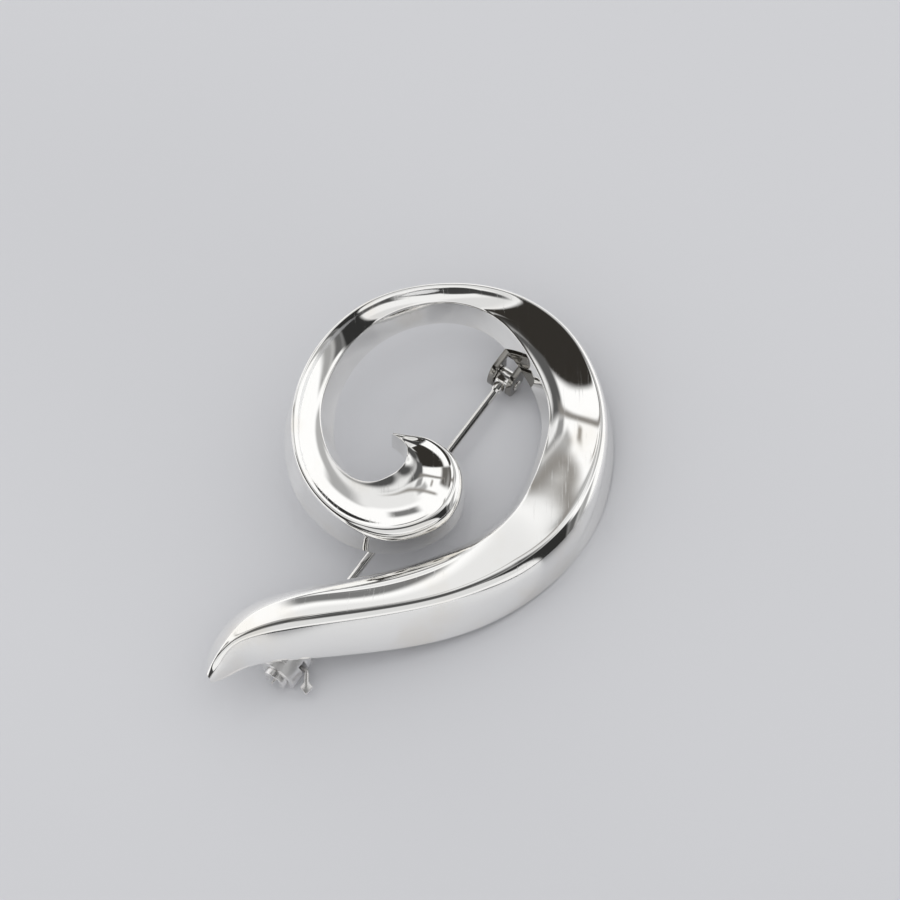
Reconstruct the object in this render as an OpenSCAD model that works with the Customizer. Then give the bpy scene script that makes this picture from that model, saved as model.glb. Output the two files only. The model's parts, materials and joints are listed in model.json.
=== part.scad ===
// Spiral brooch of polished silver: a curl that opens into a ring and leaves it as a tapering tail,
// with a hinged pin and a turning safety catch on its flat back.
// It lies as it would on a table: on its hinge, its catch and the lower edge of the ring.

/* [Strip] */
// Width of the ring from crest to crest
ring_w = 33.1; // [28:0.1:40]
// Height of the crest above the flat back where the strip is highest
strip_h = 5; // [4:0.1:6]
// Rounding of the crest towards the dished face
crest_soft = 0.25; // [0.1:0.05:0.5]

/* [Pin and hinge] */
// Distance of the rivet from the middle of the ring, to the right
hinge_x = 7; // [6:0.1:8]
// Distance of the rivet from the middle of the ring, to the top
hinge_y = 8.3; // [7.5:0.1:9]
// Direction in which the pin runs from the rivet to the catch, in degrees
pin_heading = 235; // [233:0.5:237]
// Drop of the pin's axis below the flat back
pin_drop = 2.1; // [2:0.1:2.6]
// Diameter of the pin wire
pin_d = 0.9; // [0.7:0.05:1]
// Length of the pin from the rivet to its point
pin_l = 44; // [43.6:0.1:45]
// Length of the ground point of the pin
point_l = 5; // [4.5:0.1:6]
// Radius of the rounded hinge plates
knuckle_r = 1.5; // [1.3:0.05:1.7]
// Thickness of each hinge plate
knuckle_t = 0.7; // [0.5:0.05:0.9]
// Width between the hinge plates
knuckle_gap = 1.7; // [1.4:0.05:2]
// Diameter of the rivet
rivet_d = 0.8; // [0.6:0.05:1]

/* [Safety catch] */
// Distance of the middle of the catch from the rivet
catch_at = 41.2; // [40.5:0.1:41.8]
// Length of the catch housing along the pin
catch_l = 3.4; // [3.2:0.1:3.8]
// Outer radius of the catch housing
catch_r = 2.1; // [1.9:0.05:2.3]
// Outer radius of the turning roller
roller_r = 1.3; // [1.2:0.05:1.4]
// Radius of the bore through the roller
roller_bore_r = 0.8; // [0.7:0.05:0.85]
// Mouth of the catch, as an angle about its axis
mouth_deg = 90; // [80:1:100]
// Width of the thumb lever's groove
groove_w = 0.9; // [0.7:0.05:1]
// Distance of the groove from the middle of the catch, towards the hinge
groove_back = 0.4; // [0.3:0.05:0.5]
// Reach of the thumb lever from the roller's axis
lever_reach = 3.9; // [3.7:0.1:4.4]

/* [Rest] */
// Tilt about the pin at which the hinge, the catch and the edge of the ring all touch the table
rest_tilt = 11.6; // [0:0.1:20]

/* [Hidden] */
$fn = 48;

// Width and height for which the table of sections is drawn
TABLE_W = 33.1;
TABLE_H = 5;
plan_scale = ring_w / TABLE_W;
rise_scale = strip_h / TABLE_H;

// Sections of the strip, from the tip of the curl clockwise round the ring to the tip of the tail.
// crest x, y: the top edge of the outer wall. crease x, y: the top edge of the inner wall.
// crest z, crease z: their heights above the flat back.
// sag: depth of the dished face, and negative where it is crowned.
// roll: reach of the rounded shoulder outside the crest. edge z: height at which the shoulder ends.
// foot: reach of the outer wall's foot outside the crest. heel: reach of the inner wall's foot inside
// the crease. out, in: 1 for a wall rounded as a quarter circle, 2 for a straight one.
SECTIONS = [
    //crest x, y | crease x, y | crest z, crease z | sag | roll, edge z | foot, heel | out, in
    [  -5.4,  -0.9,   -5.5,  -1.0, 3.4, 3.3,  0.0, 0.1, 2.9, 0.2, 0.2, 1.0, 2.0],
    [  -3.6,  -1.5,   -4.4,  -1.8, 4.0, 3.3,  0.1, 0.4, 3.0, 0.5, 0.3, 1.0, 2.0],
    [  -1.6,  -2.1,   -3.9,  -2.5, 4.3, 3.1,  0.3, 0.8, 2.9, 0.9, 0.4, 1.0, 2.0],
    [   0.5,  -4.0,   -3.9,  -3.4, 4.5, 3.0,  0.6, 1.1, 2.9, 1.2, 0.4, 1.0, 2.0],
    [   1.2,  -6.8,   -4.2,  -4.3, 4.6, 3.0,  0.8, 1.2, 2.9, 1.3, 0.5, 1.0, 2.0],
    [   0.2,  -9.8,   -4.9,  -5.1, 4.6, 2.9,  0.8, 1.2, 2.9, 1.3, 0.7, 1.0, 2.0],
    [  -2.4, -11.8,   -5.9,  -5.8, 4.6, 2.9,  0.8, 1.1, 3.0, 1.2, 0.9, 1.0, 2.0],
    [  -6.2, -12.6,   -7.6,  -6.4, 4.6, 2.8,  0.7, 1.0, 3.1, 1.2, 1.1, 1.0, 2.0],
    [ -10.4, -11.4,   -9.8,  -5.9, 4.6, 2.8,  0.6, 0.6, 3.5, 1.2, 1.2, 1.0, 2.0],
    [ -14.0,  -8.0,  -11.8,  -4.0, 4.6, 2.8,  0.5, 0.4, 3.8, 1.3, 1.3, 1.0, 2.0],
    [ -16.0,  -3.0,  -13.0,  -1.3, 4.6, 2.8,  0.4, 0.4, 3.8, 1.3, 1.3, 1.0, 2.0],
    [ -15.9,   3.3,  -13.3,   3.2, 4.6, 2.8,  0.3, 0.4, 3.8, 1.3, 1.4, 1.0, 2.0],
    [ -13.2,   9.7,  -11.1,   8.9, 4.6, 2.9,  0.3, 0.4, 3.8, 1.3, 1.3, 1.0, 2.0],
    [  -7.6,  14.8,   -6.5,  13.5, 4.6, 3.0, 0.18, 0.4, 3.8, 1.3, 1.3, 1.0, 2.0],
    [   0.0,  16.7,    0.0,  15.3, 4.6, 3.0, 0.14, 0.4, 3.8, 1.3, 1.2, 1.0, 2.0],
    [   7.4,  15.6,    6.0,  13.3, 4.6, 2.9, 0.28, 0.5, 3.7, 1.3, 1.1, 1.0, 2.0],
    [  13.2,  11.4,    9.6,   8.5, 4.6, 2.8, 0.45, 0.6, 3.7, 1.4, 1.0, 1.0, 2.0],
    [  16.4,   5.3,   11.3,   4.2, 4.7, 2.8,  0.5, 0.7, 3.7, 1.5, 0.8, 1.0, 2.0],
    [  17.1,  -1.2,   11.5,  -0.4, 4.8, 2.8,  0.4, 0.9, 3.6, 1.7, 0.8, 1.0, 2.0],
    [  15.5,  -7.7,    9.8,  -6.1, 5.0, 3.0,  0.1, 1.4, 3.1, 2.2, 0.9, 1.0, 1.9],
    [  12.0, -13.2,    7.5, -10.4, 5.0, 3.3,  0.0, 2.2, 1.6, 2.6, 1.2, 1.1, 1.7],
    [   6.4, -17.8,    3.9, -14.0, 5.0, 3.6, -0.1, 2.7, 0.6, 2.8, 1.9, 1.5, 1.5],
    [  -0.3, -20.7,   -1.3, -17.2, 5.0, 3.7, -0.1, 2.8, 0.3, 2.9, 2.7, 1.8, 1.3],
    [  -7.6, -22.1,   -8.1, -19.1, 4.8, 3.6, -0.1, 2.8, 0.3, 2.9, 2.7, 1.8, 1.3],
    [ -14.0, -23.0,  -14.5, -20.0, 4.5, 3.4, -0.1, 2.6, 0.3, 2.7, 2.3, 1.8, 1.4],
    [ -19.1, -23.8,  -19.8, -21.9, 3.9, 3.1,  0.0, 2.4, 0.3, 2.5, 2.4, 1.8, 1.6],
    [ -22.2, -25.1,  -22.6, -24.5, 3.3, 3.0,  0.0, 1.9, 0.3, 2.1, 2.1, 1.7, 1.8],
    [ -24.0, -26.7, -24.15,-26.55, 2.2, 2.1,  0.0, 1.4, 0.3, 1.6, 1.1, 1.5, 1.9],
    [ -24.8, -27.9,  -24.9,-27.75, 0.9, 0.9,  0.0, 0.5, 0.3, 0.6, 0.4, 1.4, 2.0],
];

// Steps between two rows of the table, and along the shoulder, the face and the inner wall
ROW_STEPS = 4;
ROLL_STEPS = 5;
FACE_STEPS = 6;
HEEL_STEPS = 3;
RELAX_STEPS = 24;

last_row = len(SECTIONS) - 1;

// Control rows of a smooth curve that passes through every row of the table
function before_first(c) = 2 * c[0] - c[1];
function after_last(c) = 2 * c[last_row] - c[last_row - 1];
function curve_at_row(c, i) =
    let (before = i == 0 ? before_first(c) : c[i - 1])
    let (after = i == last_row ? after_last(c) : c[i + 1])
    (before + 4 * c[i] + after) / 6;
function relaxed(c, steps) =
    steps == 0 ? c : relaxed([for (i = [0:last_row]) c[i] + SECTIONS[i] - curve_at_row(c, i)], steps - 1);
inner_controls = relaxed(SECTIONS, RELAX_STEPS);
controls = concat([before_first(inner_controls)], inner_controls, [after_last(inner_controls)]);

// Section of the strip at a place between the rows
function row_at(t) =
    let (i = min(floor(t), last_row - 1))
    let (f = t - i)
    let (a = pow(1 - f, 3))
    let (b = 3 * pow(f, 3) - 6 * f * f + 4)
    let (c = 4 - 6 * pow(1 - f, 2) + 3 * pow(1 - f, 3))
    let (d = pow(f, 3))
    (a * controls[i] + b * controls[i + 1] + c * controls[i + 2] + d * controls[i + 3]) / 6;

// Outline of one section, from the outer foot over the crest to the inner foot
function section_points(row) =
    let (crest = plan_scale * [row[0], row[1]])
    let (crease = plan_scale * [row[2], row[3]])
    let (crest_z = rise_scale * row[4])
    let (crease_z = rise_scale * row[5])
    let (sag = row[6])
    let (roll = row[7])
    let (edge_z = rise_scale * row[8])
    let (foot = row[9])
    let (heel = row[10])
    let (width = norm(crest - crease))
    let (outwards = (crest - crease) / width)
    let (soft = crest_soft / max(width, crest_soft))
    let (soft_end = sqrt(1 + soft * soft) - soft)
    concat(
        [[foot, 0]],
        [for (k = [0:ROLL_STEPS])
            let (a = 90 * k / ROLL_STEPS)
            [roll * pow(abs(cos(a)), row[11]), edge_z + (crest_z - edge_z) * pow(sin(a), row[11])]],
        [for (k = [1:FACE_STEPS])
            let (t = k / FACE_STEPS)
            let (u = (sqrt(t * t + soft * soft) - soft) / soft_end)
            [-width * t, crest_z + (crease_z - crest_z) * u - 4 * sag * u * (1 - u)]],
        [for (k = [1:HEEL_STEPS])
            let (a = 90 * k / HEEL_STEPS)
            [-width - heel * pow(sin(a), row[12]), crease_z * pow(abs(cos(a)), row[12])]]
    )
    * [[outwards[0], outwards[1], 0], [0, 0, 1]]
    + [for (k = [0:ROLL_STEPS + FACE_STEPS + HEEL_STEPS + 1]) [crest[0], crest[1], 0]];

ring_n = ROLL_STEPS + FACE_STEPS + HEEL_STEPS + 2;
station_n = last_row * ROW_STEPS + 1;
strip_points = [for (s = [0:station_n - 1]) each section_points(row_at(s / ROW_STEPS))];
strip_faces = concat(
    [[for (k = [0:ring_n - 1]) k]],
    [for (s = [0:station_n - 2])
        for (k = [0:ring_n - 1])
            let (a = s * ring_n + k)
            let (b = s * ring_n + (k + 1) % ring_n)
            each [[a, b + ring_n, b], [a, a + ring_n, b + ring_n]]],
    [[for (k = [ring_n - 1:-1:0]) (station_n - 1) * ring_n + k]]
);

// Sizes of the hinge and the catch
SOLDER = 0.2;
RIVET_PLAY = 0.02;
EYE_PLAY = 0.05;
EYE_SIDE_PLAY = 0.1;
eye_r = 1.15;
eye_w = knuckle_gap - 2 * EYE_SIDE_PLAY;
rivet_head_r = 0.65;
rivet_head_t = 0.25;
plate_y = knuckle_gap / 2 + knuckle_t;
bridge_l = 3.4;
bridge_t = 0.7;
ROLLER_PLAY = 0.08;
ROLLER_PROUD = 0.2;
// Reach of the roller beyond the housing at the pin's point
ROLLER_END = 0.7;
LEVER_PLAY = 0.2;
lever_w = groove_w - 2 * LEVER_PLAY;
lever_t = 0.5;
lever_deg = 5;
lever_lean = 35;
bend_at = catch_r + 0.25;
arm_l = (lever_reach - bend_at) / sin(lever_lean);
diamond_l = 1.75;
diamond_w = 1.4;
saddle_w = 1;
// Distance from the rivet to just beyond the edge of the flat back, above the catch
saddle_end = 41.9;
POINT_R = 0.08;
// Thicker root of the pin wire, which ends beyond the hinge plates
root_r = pin_d / 2 + 0.2;
root_l = knuckle_r + 0.7;

// Frame of the pin: x from the rivet to the catch, z out of the flat back towards the face
module on_pin_axis() {
    translate([hinge_x, hinge_y, -pin_drop])
        rotate([0, 0, pin_heading])
            children();
}

// Rod along the pin
module rod_x(r, from_x, to_x) {
    translate([from_x, 0, 0])
        rotate([0, 90, 0])
            cylinder(r = r, h = to_x - from_x);
}

// Rod across the pin, about the rivet's axis
module rod_y(r, w) {
    rotate([90, 0, 0])
        cylinder(r = r, h = w, center = true);
}

// Wedge of the mouth, which opens away from the flat back
module mouth(from_x, to_x) {
    reach = 2 * catch_r;
    half = reach * tan(mouth_deg / 2);
    translate([from_x, 0, 0])
        rotate([90, 0, 90])
            linear_extrude(height = to_x - from_x)
                polygon([[0, 0], [-half, -reach], [half, -reach]]);
}

module strip() {
    polyhedron(points = strip_points, faces = strip_faces, convexity = 6);
}

// Side view of one hinge plate: a round end about the rivet, a round shoulder and a bar along the flat back
module plate_outline() {
    top = pin_drop + SOLDER;
    circle(r = knuckle_r);
    translate([-knuckle_r, 0])
        intersection() {
            circle(r = 2 * knuckle_r);
            square([2 * knuckle_r, top]);
        }
    translate([-knuckle_r - bridge_l, top - bridge_t])
        square([knuckle_r + bridge_l, bridge_t]);
}

module knuckle() {
    difference() {
        rotate([90, 0, 0])
            linear_extrude(height = 2 * plate_y, center = true)
                plate_outline();
        translate([-knuckle_r - SOLDER, -knuckle_gap / 2, -2 * knuckle_r])
            cube([4 * knuckle_r, knuckle_gap, 4 * knuckle_r + pin_drop]);
        rod_y(rivet_d / 2 + RIVET_PLAY, 3 * plate_y);
    }
}

// Housing of the catch: a narrow saddle under the flat back and two rings with a groove between them
module catch_housing() {
    start = catch_at - catch_l / 2;
    end = catch_at + catch_l / 2;
    groove_start = catch_at - groove_back - groove_w / 2;
    difference() {
        union() {
            rod_x(catch_r, start, end);
            translate([start, -saddle_w / 2, 0])
                cube([saddle_end - start, saddle_w, pin_drop + SOLDER]);
        }
        rod_x(roller_r + ROLLER_PLAY, start - 1, end + 1);
        mouth(start - 1, end + 1);
        translate([groove_start, -catch_r - 1, -catch_r - 1])
            cube([groove_w, 2 * catch_r + 2, catch_r + 1 + roller_r]);
    }
}

module spiral() {
    color("silver")
        laid_down()
            union() {
                strip();
                on_pin_axis() knuckle();
                on_pin_axis() catch_housing();
            }
}

module pin_stem() {
    color("lightgray")
        laid_down()
            on_pin_axis()
                difference() {
                    union() {
                        rod_y(eye_r, eye_w);
                        rod_x(root_r, 0, root_l);
                        rod_x(pin_d / 2, 0, pin_l - point_l);
                        translate([pin_l - point_l, 0, 0])
                            rotate([0, 90, 0])
                                cylinder(r1 = pin_d / 2, r2 = POINT_R, h = point_l);
                    }
                    rod_y(rivet_d / 2 + EYE_PLAY, 2 * eye_w);
                }
}

module rivet() {
    color("gainsboro")
        laid_down()
            on_pin_axis() {
                rod_y(rivet_d / 2, 2 * plate_y + 2 * RIVET_PLAY + rivet_head_t);
                for (side = [-1, 1])
                    translate([0, side * (plate_y + RIVET_PLAY + rivet_head_t / 2), 0])
                        rod_y(rivet_head_r, rivet_head_t);
            }
}

// Thumb lever, seen from the face: a neck through the groove and an arm that leans towards the pin's
// point and ends in a flat diamond
module lever_outline() {
    translate([-lever_w / 2, roller_r - 0.2])
        square([lever_w, bend_at - roller_r + 0.2]);
    translate([0, bend_at]) {
        circle(d = lever_w);
        rotate([0, 0, lever_lean]) {
            translate([0, -lever_w / 2])
                square([arm_l - diamond_l / 2, lever_w]);
            polygon([
                [arm_l - diamond_l, 0],
                [arm_l - diamond_l / 2, diamond_w / 2],
                [arm_l, 0],
                [arm_l - diamond_l / 2, -diamond_w / 2],
            ]);
        }
    }
}

module catch_roller() {
    start = catch_at - catch_l / 2 - ROLLER_PROUD;
    end = catch_at + catch_l / 2 + ROLLER_END;
    color("whitesmoke")
        laid_down()
            on_pin_axis() {
                difference() {
                    rod_x(roller_r, start, end);
                    rod_x(roller_bore_r, start - 1, end + 1);
                    mouth(start - 1, end + 1);
                }
                translate([catch_at - groove_back, 0, 0])
                    rotate([lever_deg, 0, 0])
                        linear_extrude(height = lever_t, center = true)
                            lever_outline();
            }
}

// Rest on a table: tilted about the pin's direction, lifted onto the table and centred on it
rest_axis = [-cos(pin_heading), -sin(pin_heading), 0];
rest_across = [-sin(pin_heading), cos(pin_heading), 0];
function tilted(p) =
    let (along = (p * rest_axis) * rest_axis)
    let (out = p - along)
    along + cos(rest_tilt) * out + sin(rest_tilt) * cross(rest_axis, out);
function pin_point(x, y, z) = [hinge_x, hinge_y, -pin_drop] - x * rest_axis + y * rest_across + [0, 0, z];
feet = concat(
    [for (a = [-180:5:0]) tilted(pin_point(knuckle_r * cos(a), plate_y, knuckle_r * sin(a)))],
    [for (a = [-90 + mouth_deg / 2:5:0], end = [-1, 1])
        tilted(pin_point(catch_at + end * catch_l / 2, catch_r * cos(a), catch_r * sin(a)))]
);
laid_points = [for (p = strip_points) tilted(p)];
table_z = min([for (p = concat(laid_points, feet)) p[2]]);
left_x = min([for (p = laid_points) p[0]]);
right_x = max([for (p = laid_points) p[0]]);
front_y = min([for (p = laid_points) p[1]]);
back_y = max([for (p = laid_points) p[1]]);

module laid_down() {
    translate([-(left_x + right_x) / 2, -(front_y + back_y) / 2, -table_z])
        rotate(a = rest_tilt, v = rest_axis)
            children();
}

spiral();
pin_stem();
rivet();
catch_roller();
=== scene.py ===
"""Looks of the spiral brooch: a curl that opens into a ring and leaves it as a tapering tail.

Everything is built in millimetres in one of two frames and then laid into the row frame in metres:
the brooch's own frame (flat back at z = 0, middle of the ring at the origin) and the pin's frame
(rivet at the origin, x along the pin, z towards the face).
"""
import json
import math

import bmesh
import bpy
import numpy as np
from mathutils import Matrix, Vector


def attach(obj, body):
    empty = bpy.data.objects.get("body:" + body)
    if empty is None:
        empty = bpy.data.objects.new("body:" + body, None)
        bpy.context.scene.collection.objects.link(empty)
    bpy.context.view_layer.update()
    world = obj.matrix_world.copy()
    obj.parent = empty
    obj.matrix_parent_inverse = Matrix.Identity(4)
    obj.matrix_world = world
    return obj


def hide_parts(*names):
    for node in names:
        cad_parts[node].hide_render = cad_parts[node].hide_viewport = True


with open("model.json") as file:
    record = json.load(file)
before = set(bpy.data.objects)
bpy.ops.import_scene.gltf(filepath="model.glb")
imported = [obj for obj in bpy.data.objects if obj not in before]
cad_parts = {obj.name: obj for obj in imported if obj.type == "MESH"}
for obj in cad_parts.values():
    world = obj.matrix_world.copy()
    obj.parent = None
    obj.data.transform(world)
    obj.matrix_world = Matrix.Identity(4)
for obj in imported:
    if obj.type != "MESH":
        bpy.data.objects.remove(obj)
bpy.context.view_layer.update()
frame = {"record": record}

MM = 0.001

# Frames
JOINTS = {j["name"]: j for j in frame["record"]["behaviour"]["joints"]}
PIN_HEADING = math.radians(235)
RIVET = (7.0, 8.3, -2.1)

along = Vector(JOINTS["catch_turn"]["axis"]).normalized()
across = Vector(JOINTS["pin_hinge"]["axis"]).normalized()
face = along.cross(across).normalized()
rivet_at = Vector(JOINTS["pin_hinge"]["pos_m"])
brooch_x = math.cos(PIN_HEADING) * along - math.sin(PIN_HEADING) * across
brooch_y = math.sin(PIN_HEADING) * along + math.cos(PIN_HEADING) * across


def frame_matrix(x, y, z, origin):
    """4x4 matrix from a frame in millimetres to the row frame in metres."""
    m = Matrix((x, y, z)).transposed().to_4x4() @ Matrix.Scale(MM, 4)
    m.translation = origin
    return m


PIN = frame_matrix(along, across, face, rivet_at)
turn = Matrix((brooch_x, brooch_y, face)).transposed()
BROOCH = frame_matrix(brooch_x, brooch_y, face, rivet_at - turn @ (Vector(RIVET) * MM))

# Camera
VIEW_ELEVATION = math.radians(66)
VIEW_TARGET = Vector((0.77, -1.445, 0.0))
VIEW_DISTANCE = 280.7
LENS_ANGLE = math.radians(20)


def make_camera():
    ce, se = math.cos(VIEW_ELEVATION), math.sin(VIEW_ELEVATION)
    forward = turn @ Vector((0, ce, -se))
    up = turn @ Vector((0, se, ce))
    right = forward.cross(up)
    camera = bpy.data.objects.new("camera", bpy.data.cameras.new("camera"))
    camera.data.angle = LENS_ANGLE
    camera.data.clip_start = 0.01
    camera.data.clip_end = 20
    m = Matrix((right, up, -forward)).transposed().to_4x4()
    m.translation = BROOCH @ VIEW_TARGET - forward * VIEW_DISTANCE * MM
    camera.matrix_world = m
    bpy.context.scene.collection.objects.link(camera)
    bpy.context.scene.camera = camera


make_camera()


# Node helpers

# Sockets of the mix node that carry colours
MIX_COLOUR_A, MIX_COLOUR_B, MIX_COLOUR_OUT = 6, 7, 2


class Nodes:
    """Short way to add nodes and links to one node tree."""

    def __init__(self, tree):
        self.tree = tree
        tree.nodes.clear()

    def add(self, kind, inputs=(), **attrs):
        node = self.tree.nodes.new(kind)
        for name, value in attrs.items():
            setattr(node, name, value)
        for key, value in dict(inputs).items():
            self.put(value, node.inputs[key])
        return node

    def put(self, value, socket):
        if isinstance(value, bpy.types.NodeSocket):
            self.tree.links.new(value, socket)
        else:
            socket.default_value = value

    def math(self, operation, *values):
        node = self.add("ShaderNodeMath", enumerate(values), operation=operation)
        return node.outputs[0]

    def dot(self, vector, axis):
        node = self.add("ShaderNodeVectorMath", enumerate((vector, axis)), operation="DOT_PRODUCT")
        return node.outputs["Value"]

    def ramp(self, value, low, high, to_low=0.0, to_high=1.0):
        """Smooth step of value from low to high."""
        node = self.add(
            "ShaderNodeMapRange",
            {"Value": value, "From Min": low, "From Max": high, "To Min": to_low, "To Max": to_high},
            interpolation_type="SMOOTHSTEP",
        )
        return node.outputs["Result"]

    def mix(self, factor, a, b):
        node = self.add("ShaderNodeMix", data_type="RGBA")
        self.put(factor, node.inputs["Factor"])
        self.put(a, node.inputs[MIX_COLOUR_A])
        self.put(b, node.inputs[MIX_COLOUR_B])
        return node.outputs[MIX_COLOUR_OUT]


# Studio

# Patches of the studio round the brooch, each over the ones before, in the brooch's frame.
# A sector is bounded by azimuth from its heading (side) and by angle from the zenith (out), in degrees.
# A panel is bounded by straight lines in the plan of the studio in which the distance from the middle is
# the angle from the zenith: across its heading (side) and along it (out).
# Columns: shape, heading; from, to and soft edge for side; the same for out; brightness and warmth.
STUDIO = [
    ("sector", 62, -26, 26, 6, 26, 46, 5, 0.45, 0.0),
    ("sector", 70, -12, 12, 5, 40, 64, 5, 0.42, 0.0),
    ("sector", 95, -18, 18, 6, 18, 62, 4, 0.84, 0.0),
    ("sector", 102, -7, 7, 3, 69, 80, 3, 0.20, 0.0),
    ("sector", 272, -42, 52, 8, 6, 96, 4, 0.74, 0.0),
    ("sector", 272, -42, 52, 8, 63, 96, 4, 0.92, 0.0),
    ("sector", 312, -16, 20, 6, 76.8, 90, 1, 0.07, 0.0),
    ("sector", 284, -14, 16, 4, 79.8, 90, 1, 0.07, 0.0),
    ("panel", 244, 12, 46, 4, 69.0, 90, 1, 0.05, 0.0),
    ("panel", 222, -10, 46, 6, 58.5, 90, 1, 0.05, 0.0),
    ("panel", 270, -78, -12, 4, -16.5, 8, 2, 0.03, 1.0),
    ("sector", 200, -28, 27, 2.5, 21, 74, 4, 0.03, 1.0),
    ("sector", 190, -36, 36, 3, 72, 98, 2, 1.05, 0.0),
    ("sector", 154, -13, 13, 3, 68, 78, 3, 0.13, 0.5),
    ("panel", 90, 4, 20, 3, 12, 27, 2, 0.10, 0.0),
    ("panel", 90, 14, 22, 2, 27, 37, 3, 0.30, 0.0),
    ("panel", 76, 20, 68, 4, 18.5, 22, 1.5, 0.25, 0.5),
    ("sector", 121, -7, 7, 3, 43, 53, 3, 0.45, 0.0),
    ("panel", 62, 19, 66, 4, 25, 28.5, 2, 0.28, 0.5),
    ("panel", 62, 51, 55, 1.5, 12, 20, 2, 0.35, 0.5),
    ("panel", 52, -85, -25, 5, 28, 40, 4, 0.38, 0.0),
    ("panel", 52, -80, -30, 5, 19, 28, 3, 0.13, 0.0),
    ("panel", 52, -95, -14, 4, 0, 20, 2, 0.03, 0.0),
    ("sector", 0, -181, 181, 1, -5, 16, 6, 0.08, 0.0),
]
OPEN_STUDIO = 1.05
BACKDROP = (0.80, 0.81, 0.83, 1.0)
# Shares of red gained and of blue lost by a warm patch
WARM_RED, WARM_BLUE = 0.10, 0.12


def paint_studio():
    world = bpy.data.worlds.new("studio")
    world.use_nodes = True
    bpy.context.scene.world = world
    n = Nodes(world.node_tree)
    direction = n.add("ShaderNodeTexCoord").outputs["Generated"]
    x, y, z = (n.dot(direction, tuple(a)) for a in (brooch_x, brooch_y, face))
    degrees = 180 / math.pi
    zenith = n.math("MULTIPLY", n.math("ARCCOSINE", z), degrees)
    azimuth = n.math("MULTIPLY", n.math("ARCTAN2", y, x), degrees)
    colour = (OPEN_STUDIO, OPEN_STUDIO, OPEN_STUDIO, 1.0)
    for shape, heading, left, right, soft_s, near, far, soft_o, bright, warm in STUDIO:
        tone = (bright * (1 + WARM_RED * warm), bright, bright * (1 - WARM_BLUE * warm), 1.0)
        # azimuth from the heading, brought into -180 to 180 degrees
        shifted = n.math("ADD", azimuth, 540 - heading)
        side, out = n.math("SUBTRACT", n.math("MODULO", shifted, 360), 180), zenith
        if shape == "panel":
            off = n.math("MULTIPLY", side, 1 / degrees)
            side = n.math("MULTIPLY", zenith, n.math("SINE", off))
            out = n.math("MULTIPLY", zenith, n.math("COSINE", off))
        inside = n.ramp(side, left - soft_s, left + soft_s)
        for edge in (
            n.ramp(side, right + soft_s, right - soft_s),
            n.ramp(out, near - soft_o, near + soft_o),
            n.ramp(out, far + soft_o, far - soft_o),
        ):
            inside = n.math("MULTIPLY", inside, edge)
        colour = n.mix(inside, colour, tone)
    backdrop = n.add("ShaderNodeBackground", {"Color": BACKDROP, "Strength": 1.0})
    studio = n.add("ShaderNodeBackground", {"Color": colour, "Strength": 1.0})
    fill = n.add("ShaderNodeBackground", {"Color": (1.0, 1.0, 1.0, 1.0), "Strength": 1.0})
    path = n.add("ShaderNodeLightPath")
    lit = n.add(
        "ShaderNodeMixShader",
        {0: path.outputs["Is Diffuse Ray"], 1: studio.outputs[0], 2: fill.outputs[0]},
    )
    both = n.add(
        "ShaderNodeMixShader",
        {0: path.outputs["Is Camera Ray"], 1: lit.outputs[0], 2: backdrop.outputs[0]},
    )
    n.add("ShaderNodeOutputWorld", {"Surface": both.outputs[0]})


paint_studio()
bpy.context.scene.view_settings.view_transform = "Standard"


# Materials
TARNISH = (0.94, 0.905, 0.85)


def silver(name, colour, rough, wear=1.0, relief=0.10):
    """Polished silver: hairline scratches, faint ripple, slight tarnish in patches."""
    m = bpy.data.materials.new(name)
    m.use_nodes = True
    n = Nodes(m.node_tree)
    at = n.add("ShaderNodeTexCoord").outputs["Object"]
    broad = n.add("ShaderNodeTexNoise", {"Vector": at, "Scale": 180.0, "Detail": 3.0}).outputs["Fac"]
    fine = n.add("ShaderNodeTexNoise", {"Vector": at, "Scale": 2600.0, "Detail": 4.0}).outputs["Fac"]
    ripple = n.add("ShaderNodeTexNoise", {"Vector": at, "Scale": 420.0, "Detail": 1.0}).outputs["Fac"]
    # hairlines: noise drawn out along two directions
    lines = []
    for turn_deg, stretch in ((20, (6000.0, 240.0, 240.0)), (115, (5200.0, 200.0, 200.0))):
        laid = n.add(
            "ShaderNodeMapping",
            {"Vector": at, "Rotation": (0.3, 0.2, math.radians(turn_deg)), "Scale": stretch},
        ).outputs[0]
        grain = n.add("ShaderNodeTexNoise", {"Vector": laid, "Scale": 1.0, "Detail": 2.0}).outputs["Fac"]
        lines.append(n.ramp(grain, 0.62, 0.72))
    hairline = n.math("MAXIMUM", *lines)
    tarnish = n.ramp(broad, 0.50, 0.78)
    dull = tuple(c * k for c, k in zip(colour, TARNISH))
    tone = n.mix(n.math("MULTIPLY", tarnish, 0.6 * wear), (*colour, 1.0), (*dull, 1.0))
    mottled = n.ramp(fine, 0.45, 0.75, 0.0, rough * 0.6 * wear)
    roughness = n.math("ADD", n.ramp(broad, 0.3, 0.7, rough * 0.7, rough * 1.3), mottled)
    roughness = n.math("ADD", roughness, n.math("MULTIPLY", hairline, 0.10 * wear))
    height = n.math("SUBTRACT", ripple, n.math("MULTIPLY", hairline, 0.08 * wear))
    bump = n.add("ShaderNodeBump", {"Height": height, "Strength": relief, "Distance": 0.00002})
    shader = n.add(
        "ShaderNodeBsdfPrincipled",
        {"Base Color": tone, "Roughness": roughness, "Normal": bump.outputs[0], "Metallic": 1.0},
    )
    n.add("ShaderNodeOutputMaterial", {"Surface": shader.outputs[0]})
    return m


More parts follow.
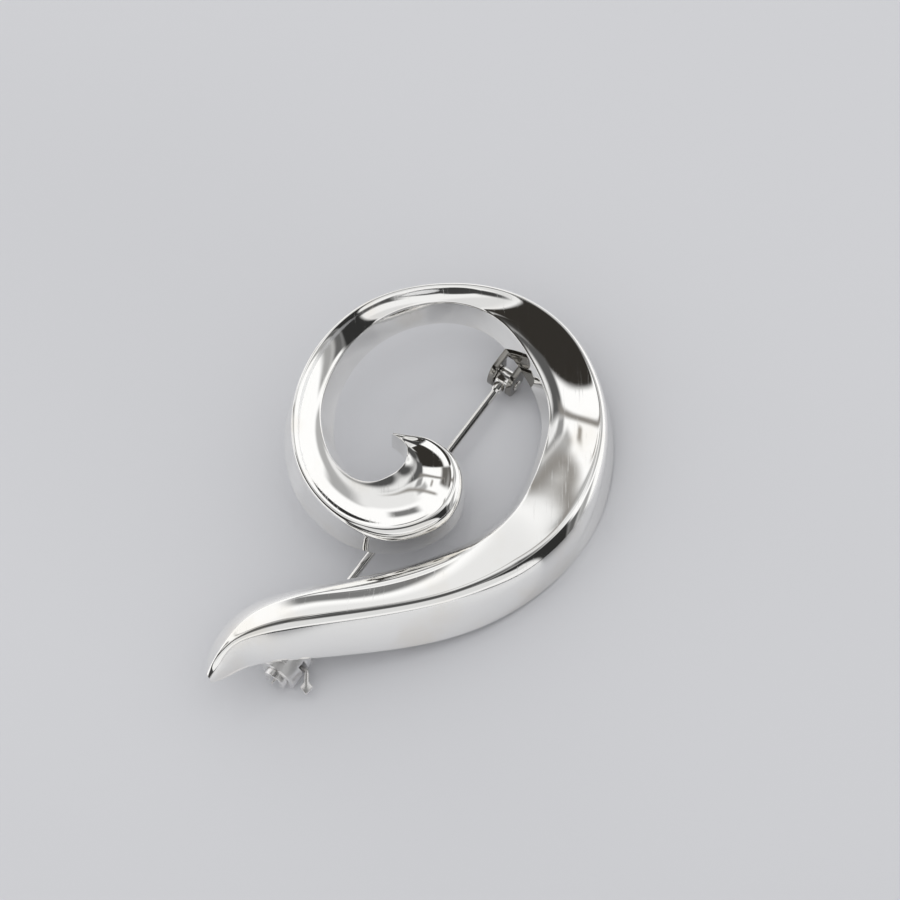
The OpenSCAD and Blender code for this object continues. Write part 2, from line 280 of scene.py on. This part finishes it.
def satin(name, colour):
    """Pale satin table."""
    m = bpy.data.materials.new(name)
    m.use_nodes = True
    n = Nodes(m.node_tree)
    at = n.add("ShaderNodeTexCoord").outputs["Object"]
    grain = n.add("ShaderNodeTexNoise", {"Vector": at, "Scale": 900.0, "Detail": 3.0})
    bump = n.add(
        "ShaderNodeBump",
        {"Height": grain.outputs["Fac"], "Strength": 0.05, "Distance": 0.0001},
    )
    shader = n.add(
        "ShaderNodeBsdfPrincipled",
        {"Base Color": (*colour, 1.0), "Roughness": 0.18, "IOR": 1.6, "Normal": bump.outputs[0]},
    )
    n.add("ShaderNodeOutputMaterial", {"Surface": shader.outputs[0]})
    return m


STRIP_SILVER = silver("polished_silver", (0.95, 0.945, 0.93), 0.035)
# the hinge's dark base colour is painted shade, standing for the shade it lies in under the ring, not
# for tarnish
HINGE_PAINTED_SHADE_SILVER = silver("hinge_painted_shade", (0.31, 0.30, 0.28), 0.11, 0.5, 0.03)
CAST_SILVER = silver("cast_catch", (0.97, 0.965, 0.96), 0.36, 0.3, 0.012)
WIRE_SILVER = silver("drawn_wire", (0.86, 0.85, 0.83), 0.10, 0.5, 0.04)
RIVET_SILVER = silver("filed_rivet", (0.72, 0.70, 0.67), 0.12, 0.5, 0.04)
CATCH_SILVER = silver("turned_catch", (0.96, 0.95, 0.94), 0.26, 0.3, 0.012)
FLOOR = satin("pale_floor", (0.62, 0.625, 0.65))


# Pieces
SHARP_EDGE, STRIP_SHARP_EDGE = math.radians(35), math.radians(50)


def finish_piece(name, mesh, body, material, node, sharp=SHARP_EDGE):
    """One piece of the brooch from its mesh in the row frame."""
    mesh.validate()
    mesh.update()
    mesh.shade_smooth()
    mesh.set_sharp_from_angle(angle=sharp)
    mesh.materials.append(material)
    piece = bpy.data.objects.new(name, mesh)
    bpy.context.scene.collection.objects.link(piece)
    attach(piece, body)
    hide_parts(node)


# The silver strip

# Sections from the tip of the curl clockwise round the ring to the tip of the tail, in millimetres.
# crest x, y: the top edge of the outer wall. crease x, y: the top edge of the inner wall.
# crest z, crease z: their heights above the flat back.
# sag: depth of the dished face, and negative where it is crowned.
# roll: reach of the rounded shoulder outside the crest. edge z: height at which the shoulder ends.
# foot: reach of the outer wall's foot outside the crest. heel: reach of the inner wall's foot inside
# the crease. out, in: 1 for a wall rounded as a quarter circle, 2 for a straight one.
SECTIONS = np.array([
    # crest x, y, crease x, y, crest z, crease z, sag, roll, edge z, foot, heel, out, in
    [-5.4, -0.9, -5.5, -1.0, 3.4, 3.3, 0.0, 0.1, 2.9, 0.2, 0.2, 1.0, 2.0],
    [-3.6, -1.5, -4.4, -1.8, 4.0, 3.3, 0.1, 0.4, 3.0, 0.5, 0.3, 1.0, 2.0],
    [-1.6, -2.1, -3.9, -2.5, 4.3, 3.1, 0.3, 0.8, 2.9, 0.9, 0.4, 1.0, 2.0],
    [0.5, -4.0, -3.9, -3.4, 4.5, 3.0, 0.6, 1.1, 2.9, 1.2, 0.4, 1.0, 2.0],
    [1.2, -6.8, -4.2, -4.3, 4.6, 3.0, 0.8, 1.2, 2.9, 1.3, 0.5, 1.0, 2.0],
    [0.2, -9.8, -4.9, -5.1, 4.6, 2.9, 0.8, 1.2, 2.9, 1.3, 0.7, 1.0, 2.0],
    [-2.4, -11.8, -5.9, -5.8, 4.6, 2.9, 0.8, 1.1, 3.0, 1.2, 0.9, 1.0, 2.0],
    [-6.2, -12.6, -7.6, -6.4, 4.6, 2.8, 0.7, 1.0, 3.1, 1.2, 1.1, 1.0, 2.0],
    [-10.4, -11.4, -9.8, -5.9, 4.6, 2.8, 0.6, 0.6, 3.5, 1.2, 1.2, 1.0, 2.0],
    [-14.0, -8.0, -11.8, -4.0, 4.6, 2.8, 0.5, 0.4, 3.8, 1.3, 1.3, 1.0, 2.0],
    [-16.0, -3.0, -13.0, -1.3, 4.6, 2.8, 0.4, 0.4, 3.8, 1.3, 1.3, 1.0, 2.0],
    [-15.9, 3.3, -13.3, 3.2, 4.6, 2.8, 0.3, 0.4, 3.8, 1.3, 1.4, 1.0, 2.0],
    [-13.2, 9.7, -11.1, 8.9, 4.6, 2.9, 0.3, 0.4, 3.8, 1.3, 1.3, 1.0, 2.0],
    [-7.6, 14.8, -6.5, 13.5, 4.6, 3.0, 0.18, 0.4, 3.8, 1.3, 1.3, 1.0, 2.0],
    [0.0, 16.7, 0.0, 15.3, 4.6, 3.0, 0.14, 0.4, 3.8, 1.3, 1.2, 1.0, 2.0],
    [7.4, 15.6, 6.0, 13.3, 4.6, 2.9, 0.28, 0.5, 3.7, 1.3, 1.1, 1.0, 2.0],
    [13.2, 11.4, 9.6, 8.5, 4.6, 2.8, 0.45, 0.6, 3.7, 1.4, 1.0, 1.0, 2.0],
    [16.4, 5.3, 11.3, 4.2, 4.7, 2.8, 0.5, 0.7, 3.7, 1.5, 0.8, 1.0, 2.0],
    [17.1, -1.2, 11.5, -0.4, 4.8, 2.8, 0.4, 0.9, 3.6, 1.7, 0.8, 1.0, 2.0],
    [15.5, -7.7, 9.8, -6.1, 5.0, 3.0, 0.1, 1.4, 3.1, 2.2, 0.9, 1.0, 1.9],
    [12.0, -13.2, 7.5, -10.4, 5.0, 3.3, 0.0, 2.2, 1.6, 2.6, 1.2, 1.1, 1.7],
    [6.4, -17.8, 3.9, -14.0, 5.0, 3.6, -0.1, 2.7, 0.6, 2.8, 1.9, 1.5, 1.5],
    [-0.3, -20.7, -1.3, -17.2, 5.0, 3.7, -0.1, 2.8, 0.3, 2.9, 2.7, 1.8, 1.3],
    [-7.6, -22.1, -8.1, -19.1, 4.8, 3.6, -0.1, 2.8, 0.3, 2.9, 2.7, 1.8, 1.3],
    [-14.0, -23.0, -14.5, -20.0, 4.5, 3.4, -0.1, 2.6, 0.3, 2.7, 2.3, 1.8, 1.4],
    [-19.1, -23.8, -19.8, -21.9, 3.9, 3.1, 0.0, 2.4, 0.3, 2.5, 2.4, 1.8, 1.6],
    [-22.2, -25.1, -22.6, -24.5, 3.3, 3.0, 0.0, 1.9, 0.3, 2.1, 2.1, 1.7, 1.8],
    [-24.0, -26.7, -24.15, -26.55, 2.2, 2.1, 0.0, 1.4, 0.3, 1.6, 1.1, 1.5, 1.9],
    [-24.8, -27.9, -24.9, -27.75, 0.9, 0.9, 0.0, 0.5, 0.3, 0.6, 0.4, 1.4, 2.0],
])
ROW_STEPS = 20
CURVE_PASSES = 24  # passes that bring the smooth curve onto the rows
CREST_SOFT = 0.25
CREST_ROUND = 0.8  # rounding of the crest where the shoulder is a flank
FLANK_FULL = 0.4  # rise of the table's out above 1 that rounds the crest in full
CREST_FADE = 2.5  # distance in reaches at which the rounding of the crest ends
CREST_SAMPLES = 321
LEAST_REACH = 0.01  # below this the crest stays as it is
LEAST_HALF = 0.02  # the same for a single point, as a share of the reach
RIM = 0.14  # rounding of the crease
SHOULDER = 0.12  # rounding where the shoulder meets the outer wall
FOOT = 0.10  # rounding at the flat back
LARGEST_SHARE = 0.3  # share of a length beside it that a rounding takes at most
BACK_SHARE = 0.2  # share of the flat back that a rounding takes at most
ROLL_SHARE = 0.6  # the same for the reach of the shoulder
RIM_SHARE = 0.2  # the same for the height of the inner wall
CORNER_STEPS = 5
WALL_STEPS = 5
ROLL_STEPS = 22
FACE_STEPS = 34
HEEL_STEPS = 14


def smooth_rows():
    """Rows along a smooth curve that passes through every row of the table."""
    controls = SECTIONS.copy()

    def with_ends(c):
        return np.vstack([2 * c[0] - c[1], c, 2 * c[-1] - c[-2]])

    for _ in range(CURVE_PASSES):
        p = with_ends(controls)
        controls = controls + SECTIONS - (p[:-2] + 4 * p[1:-1] + p[2:]) / 6
    p = with_ends(controls)
    last = len(SECTIONS) - 1
    rows = []
    for t in np.linspace(0, last, last * ROW_STEPS + 1):
        i = min(int(t), last - 1)
        f = t - i
        weights = ((1 - f) ** 3, 3 * f**3 - 6 * f * f + 4, -3 * f**3 + 3 * f * f + 3 * f + 1, f**3)
        rows.append(sum(w * p[i + k] for k, w in enumerate(weights)) / 6)
    return np.array(rows)


def corner(a, b, c):
    """Points of a rounded corner at b, between a and c, without a and c themselves."""
    out = []
    for k in range(1, CORNER_STEPS):
        t = k / CORNER_STEPS
        out.append(a * (1 - t) ** 2 + 2 * b * t * (1 - t) + c * t * t)
    return out


def rounded_crest(points, crest_at, reach):
    """The outline with its crest rounded within the given reach, by a running mean along it."""
    if reach < LEAST_REACH:
        return points
    steps = np.hypot(*np.diff(points, axis=0).T)
    distance = np.concatenate([[0], np.cumsum(steps)])
    distance -= distance[crest_at]
    # running integral of the outline near the crest
    at = np.linspace(-4 * reach, 4 * reach, CREST_SAMPLES)
    near = np.stack([np.interp(at, distance, points[:, i]) for i in range(2)], axis=1)
    area = np.vstack([np.zeros(2), np.cumsum((near[1:] + near[:-1]) / 2, axis=0)]) * (at[1] - at[0])

    def area_up_to(end):
        return np.array([np.interp(end, at, area[:, i]) for i in range(2)])

    rounded = points.copy()
    for k, s in enumerate(distance):
        half = reach * (1 - (s / (CREST_FADE * reach)) ** 2)
        if half > LEAST_HALF * reach:
            rounded[k] = (area_up_to(s + half) - area_up_to(s - half)) / (2 * half)
    return rounded


def pair(reach, height):
    return np.array((reach, height))


def section_outline(row):
    """Outline of a section as (reach outside the crest, height) pairs, from foot to heel."""
    crest, crease = row[0:2], row[2:4]
    crest_z, crease_z, sag, roll, edge_z, foot, heel, out, inn = row[4:]
    width = np.hypot(*(crest - crease))
    back = width + foot + heel
    points = []
    # outer wall, rounded at the flat back and at the shoulder
    foot_at, edge_at = pair(foot, 0), pair(roll, edge_z)
    wall = np.hypot(*(edge_at - foot_at))
    foot_r = min(FOOT, LARGEST_SHARE * wall)
    low = foot_at + (edge_at - foot_at) * foot_r / wall
    rise = crest_z - edge_z
    shoulder_r = min(SHOULDER, LARGEST_SHARE * wall, LARGEST_SHARE * rise, ROLL_SHARE * roll)
    high = edge_at + (foot_at - edge_at) * shoulder_r / wall
    start = math.asin((shoulder_r / rise) ** (1 / out))

    def shoulder(a):
        return pair(roll * abs(math.cos(a)) ** out, edge_z + rise * math.sin(a) ** out)

    points.append(foot_at - pair(min(foot_r, BACK_SHARE * back), 0))
    points += corner(points[-1], foot_at, low)
    points += [low + (high - low) * k / WALL_STEPS for k in range(WALL_STEPS + 1)]
    points += corner(high, edge_at, shoulder(start))
    for k in range(ROLL_STEPS + 1):
        points.append(shoulder(start + (math.pi / 2 - start) * k / ROLL_STEPS))
    crest_at = len(points) - 1
    # face, dished between the crest and the crease
    soft = CREST_SOFT / max(width, CREST_SOFT)
    soft_end = math.hypot(1, soft) - soft
    rim = min(RIM, LARGEST_SHARE * width, RIM_SHARE * crease_z)

    def on_face(t):
        u = (math.hypot(t, soft) - soft) / soft_end
        return pair(-width * t, crest_z + (crease_z - crest_z) * u - 4 * sag * u * (1 - u))

    face_end = 1 - rim / width
    points += [on_face(face_end * k / FACE_STEPS) for k in range(1, FACE_STEPS + 1)]
    # inner wall, rounded at the crease and at the flat back
    heel_len = math.hypot(heel, crease_z)
    heel_r = min(FOOT, LARGEST_SHARE * heel_len)
    begin = math.acos((1 - rim / heel_len) ** (1 / inn))
    end = math.acos((heel_r / heel_len) ** (1 / inn))

    def inner(a):
        return pair(-width - heel * math.sin(a) ** inn, crease_z * abs(math.cos(a)) ** inn)

    points += corner(points[-1], pair(-width, crease_z), inner(begin))
    points += [inner(begin + (end - begin) * k / HEEL_STEPS) for k in range(HEEL_STEPS + 1)]
    heel_at = pair(-width - heel, 0)
    bottom = heel_at + pair(min(heel_r, BACK_SHARE * back), 0)
    points += corner(points[-1], heel_at, bottom)
    points.append(bottom)
    flank = min((out - 1) / FLANK_FULL, 1)
    return rounded_crest(np.array(points), crest_at, min(CREST_ROUND * flank, LARGEST_SHARE * width))


def make_strip():
    points = []
    for row in smooth_rows():
        outline = section_outline(row)
        crest, crease = row[0:2], row[2:4]
        outwards = (crest - crease) / np.hypot(*(crest - crease))
        plan = crest + outline[:, :1] * outwards
        points.append(np.hstack([plan, outline[:, 1:]]))
    count, size = len(points), len(points[0])
    faces = [tuple(range(size)), tuple((count - 1) * size + k for k in reversed(range(size)))]
    for s in range(count - 1):
        for k in range(size):
            a, b = s * size + k, s * size + (k + 1) % size
            faces.append((a, a + size, b + size, b))
    mesh = bpy.data.meshes.new("silver_strip")
    mesh.from_pydata([BROOCH @ Vector(p) for p in np.vstack(points)], [], faces)
    finish_piece(
        "silver_strip", mesh, "brooch", STRIP_SILVER, "spiral", STRIP_SHARP_EDGE
    )


make_strip()


# Findings on the back, in the pin's frame
PIN_DROP = 2.1
SOLDER = 0.2
KNUCKLE_R, KNUCKLE_GAP, PLATE_Y = 1.5, 1.7, 1.55
KNUCKLE_STEPS, KNUCKLE_SHOULDER_STEPS = 32, 20
BRIDGE_L, BRIDGE_T = 3.4, 0.7
RIVET_R, RIVET_HEAD_R, RIVET_HEAD_T, RIVET_PLAY = 0.4, 0.65, 0.25, 0.02
HEAD_STEPS, HEAD_CURVE, HEAD_TOP_R = 8, 0.6, 0.05
EYE_R, EYE_W, EYE_BORE_R = 1.15, 1.5, 0.45
WIRE_R, ROOT_R, ROOT_L, PIN_L, POINT_L = 0.45, 0.65, 2.2, 44.0, 5.0
ROOT_TAPER_L, ROOT_TAPER_STEPS = 0.35, 6
POINT_R, POINT_CURVE, POINT_STEPS = 0.10, 1.15, 12
CATCH_AT, CATCH_L, CATCH_R = 41.2, 3.4, 2.1
ROLLER_R, ROLLER_PLAY, ROLLER_BORE_R = 1.3, 0.08, 0.8
ROLLER_PROUD, ROLLER_END = 0.2, 0.7
MOUTH_HALF = math.radians(45)
GROOVE_W, GROOVE_AT = 0.9, CATCH_AT - 0.4
LEVER_T, LEVER_W, LEVER_REACH = 0.5, 0.5, 3.9
LEVER_TURN, LEVER_LEAN = math.radians(5), math.radians(35)
LEVER_SUNK = 0.15  # how far the lever goes into the roller
BEND_ABOVE = 0.25  # height of the lever's bend above the housing
# Corners of the bend: on the neck and on the arm, on the outer side and on the inner side
BEND_OUTER_NECK, BEND_OUTER_ARM, BEND_INNER = 0.12, 0.40, 0.05
DIAMOND_L, DIAMOND_W = 1.75, 1.4
SADDLE_W, SADDLE_END = 1.0, 41.9
SADDLE_INSET = 0.01  # keeps the saddle's end off the end face of the housing
BEYOND_HOUSING = 3
ROUND_STEPS = 64

# Widths of the rounded edges
KNUCKLE_BEVEL, HOUSING_BEVEL, PIN_BEVEL = 0.10, 0.09, 0.06
RIVET_BEVEL, ROLLER_BEVEL, LEVER_BEVEL = 0.02, 0.07, 0.09
BEVEL_FROM = math.radians(32)


def arc(centre, radius, start, end, steps):
    """Points of an arc, with its angles in radians."""
    turns = [start + (end - start) * k / steps for k in range(steps + 1)]
    return [(centre[0] + radius * math.cos(t), centre[1] + radius * math.sin(t)) for t in turns]


def pin_frame_point(u, v, w, axis):
    """Point from two outline coordinates and the place along the axis."""
    return {"x": (w, u, v), "y": (u, w, v), "z": (u, v, w)}[axis]


def prism(outline, low, high, axis):
    """Bar with a constant outline: (y, z) for a bar along x, (x, z) along y, (x, y) along z."""
    n = len(outline)
    points = [pin_frame_point(u, v, w, axis) for w in (low, high) for u, v in outline]
    faces = [tuple(range(n)), tuple(range(2 * n - 1, n - 1, -1))]
    faces += [(k, k + n, (k + 1) % n + n, (k + 1) % n) for k in range(n)]
    return points, faces


def lathe(profile, axis):
    """Turned part from its profile of (place along the axis, radius) from end to end."""
    points = []
    for at, radius in profile:
        for u, v in arc((0, 0), radius, 0, 2 * math.pi, ROUND_STEPS)[:-1]:
            points.append(pin_frame_point(u, v, at, axis))
    rings, n = len(profile), ROUND_STEPS
    faces = [tuple(range(n)), tuple(range(rings * n - 1, (rings - 1) * n - 1, -1))]
    for r in range(rings - 1):
        for k in range(n):
            a, b = r * n + k, r * n + (k + 1) % n
            faces.append((a, a + n, b + n, b))
    return points, faces


def temporary(shape):
    """Object with outward faces, only for joining and cutting."""
    mesh = bpy.data.meshes.new("shape")
    mesh.from_pydata(shape[0], [], shape[1])
    bm = bmesh.new()
    bm.from_mesh(mesh)
    bmesh.ops.recalc_face_normals(bm, faces=bm.faces)
    bm.to_mesh(mesh)
    bm.free()
    o = bpy.data.objects.new("shape", mesh)
    bpy.context.scene.collection.objects.link(o)
    return o


def fitted(parts, cuts, bevel, segments=3):
    """One mesh from parts joined and cut, with rounded edges."""
    base = temporary(parts[0])
    used = [base]
    for operation, shapes in (("UNION", parts[1:]), ("DIFFERENCE", cuts)):
        for shape in shapes:
            other = temporary(shape)
            used.append(other)
            step = base.modifiers.new("step", "BOOLEAN")
            step.operation, step.object, step.solver = operation, other, "EXACT"
    edges = base.modifiers.new("edges", "BEVEL")
    edges.width, edges.segments = bevel, segments
    edges.limit_method, edges.angle_limit = "ANGLE", BEVEL_FROM
    graph = bpy.context.evaluated_depsgraph_get()
    mesh = bpy.data.meshes.new_from_object(base.evaluated_get(graph))
    for o in used:
        bpy.data.objects.remove(o)
    return mesh


def place(name, mesh, body, material, node):
    """One piece of the brooch from its mesh in the pin's frame."""
    mesh.name = name
    mesh.transform(PIN)
    finish_piece(name, mesh, body, material, node)


def mouth_cut(low, high):
    """Wedge that opens the catch towards the table side."""
    reach = 3 * CATCH_R
    half = reach * math.tan(MOUTH_HALF)
    return prism([(0, 0), (-half, -reach), (half, -reach)], low, high, "x")


def box(x0, x1, y0, y1, z0, z1):
    return prism([(y0, z0), (y1, z0), (y1, z1), (y0, z1)], x0, x1, "x")


def make_knuckle():
    top = PIN_DROP + SOLDER
    shoulder = math.asin(top / (2 * KNUCKLE_R))
    outline = [(-KNUCKLE_R - BRIDGE_L, top), (-KNUCKLE_R - BRIDGE_L, top - BRIDGE_T)]
    outline += [(-KNUCKLE_R, top - BRIDGE_T)]
    outline += arc((0, 0), KNUCKLE_R, math.pi, 2 * math.pi, KNUCKLE_STEPS)
    outline += arc((-KNUCKLE_R, 0), 2 * KNUCKLE_R, 0, shoulder, KNUCKLE_SHOULDER_STEPS)[1:]
    plates = prism(outline, -PLATE_Y, PLATE_Y, "y")
    half = KNUCKLE_GAP / 2
    slot_back = -KNUCKLE_R - SOLDER
    hole = RIVET_R + RIVET_PLAY
    cuts = [
        box(slot_back, 4 * KNUCKLE_R, -half, half, -2 * KNUCKLE_R, 2 * KNUCKLE_R + PIN_DROP),
        lathe([(-3 * PLATE_Y, hole), (3 * PLATE_Y, hole)], "y"),
    ]
    mesh = fitted([plates], cuts, KNUCKLE_BEVEL, 4)
    place("hinge_knuckle", mesh, "brooch", HINGE_PAINTED_SHADE_SILVER, "spiral")


def make_catch_housing():
    start, end = CATCH_AT - CATCH_L / 2, CATCH_AT + CATCH_L / 2
    hole = ROLLER_R + ROLLER_PLAY
    parts = [
        lathe([(start, CATCH_R), (end, CATCH_R)], "x"),
        box(start + SADDLE_INSET, SADDLE_END, -SADDLE_W / 2, SADDLE_W / 2, 0, PIN_DROP + SOLDER),
    ]
    groove_start, groove_end = GROOVE_AT - GROOVE_W / 2, GROOVE_AT + GROOVE_W / 2
    far = BEYOND_HOUSING
    cuts = [
        lathe([(start - 1, hole), (end + 1, hole)], "x"),
        mouth_cut(start - 1, end + 1),
        box(groove_start, groove_end, -far, far, -far, ROLLER_R),
    ]
    mesh = fitted(parts, cuts, HOUSING_BEVEL, 4)
    place("catch_housing", mesh, "brooch", CAST_SILVER, "spiral")


def make_pin():
    eye = lathe([(-EYE_W / 2, EYE_R), (EYE_W / 2, EYE_R)], "y")
    taper_at = ROOT_L - ROOT_TAPER_L
    wire = [(0, ROOT_R), (taper_at, ROOT_R)]
    for k in range(1, ROOT_TAPER_STEPS + 1):
        t = k / ROOT_TAPER_STEPS
        eased = 3 * t * t - 2 * t**3
        wire.append((taper_at + ROOT_TAPER_L * t, ROOT_R - (ROOT_R - WIRE_R) * eased))
    point_at = PIN_L - POINT_L
    wire.append((point_at, WIRE_R))
    for k in range(1, POINT_STEPS + 1):
        t = k / POINT_STEPS
        wire.append((point_at + POINT_L * t, WIRE_R - (WIRE_R - POINT_R) * t**POINT_CURVE))
    # blunt end of the point
    wire += [(PIN_L - 0.02, 0.07), (PIN_L, 0.03)]
    bore = lathe([(-EYE_W, EYE_BORE_R), (EYE_W, EYE_BORE_R)], "y")
    mesh = fitted([eye, lathe(wire, "x")], [bore], PIN_BEVEL)
    place("pin_wire", mesh, "pin", WIRE_SILVER, "pin_stem")


def make_rivet():
    shank = PLATE_Y + RIVET_PLAY
    right = [(shank, RIVET_R)]
    for k in range(HEAD_STEPS):
        a = k * math.pi / (2 * HEAD_STEPS)
        right.append((shank + RIVET_HEAD_T * math.sin(a), RIVET_HEAD_R * math.cos(a) ** HEAD_CURVE))
    right.append((shank + RIVET_HEAD_T, HEAD_TOP_R))
    profile = [(-x, r) for x, r in reversed(right)] + right
    mesh = fitted([lathe(profile, "y")], [], RIVET_BEVEL, 2)
    place("hinge_rivet", mesh, "brooch", RIVET_SILVER, "rivet")


def make_roller():
    start = CATCH_AT - CATCH_L / 2 - ROLLER_PROUD
    end = CATCH_AT + CATCH_L / 2 + ROLLER_END
    bore = lathe([(start - 1, ROLLER_BORE_R), (end + 1, ROLLER_BORE_R)], "x")
    cuts = [bore, mouth_cut(start - 1, end + 1)]
    barrel = fitted([lathe([(start, ROLLER_R), (end, ROLLER_R)], "x")], cuts, ROLLER_BEVEL)
    place("catch_roller", barrel, "roller", CATCH_SILVER, "catch_roller")


def make_lever():
    bend = CATCH_R + BEND_ABOVE
    arm = (LEVER_REACH - bend) / math.sin(LEVER_LEAN)
    neck = LEVER_W / 2
    widest = arm - DIAMOND_L / 2
    meet = arm - DIAMOND_L + DIAMOND_L / DIAMOND_W * neck

    def on_arm(u, v):
        c, s = math.cos(LEVER_LEAN), math.sin(LEVER_LEAN)
        return (GROOVE_AT + u * c - v * s, bend + u * s + v * c)

    root = ROLLER_R - LEVER_SUNK
    outline = [(GROOVE_AT - neck, root), (GROOVE_AT + neck, root)]
    outline += [(GROOVE_AT + neck, bend - BEND_OUTER_NECK), on_arm(BEND_OUTER_ARM, -neck)]
    outline += [on_arm(meet, -neck)]
    outline += [on_arm(widest, -DIAMOND_W / 2), on_arm(arm, 0), on_arm(widest, DIAMOND_W / 2)]
    outline += [on_arm(meet, neck), on_arm(BEND_INNER, neck), (GROOVE_AT - neck, bend - BEND_INNER)]
    points, faces = prism(outline, -LEVER_T / 2, LEVER_T / 2, "z")
    c, s = math.cos(LEVER_TURN), math.sin(LEVER_TURN)
    tab = [(x, y * c - z * s, y * s + z * c) for x, y, z in points], faces
    mesh = fitted([tab], [], LEVER_BEVEL)
    place("thumb_lever", mesh, "roller", CATCH_SILVER, "catch_roller")


make_knuckle()
make_catch_housing()
make_pin()
make_rivet()
make_roller()
make_lever()


# Floor
FLOOR_HALF = 3.0


def make_floor():
    mesh = bpy.data.meshes.new("floor")
    r = FLOOR_HALF
    mesh.from_pydata([(-r, -r, 0), (r, -r, 0), (r, r, 0), (-r, r, 0)], [], [(0, 1, 2, 3)])
    mesh.materials.append(FLOOR)
    floor = bpy.data.objects.new("floor", mesh)
    bpy.context.scene.collection.objects.link(floor)


make_floor()
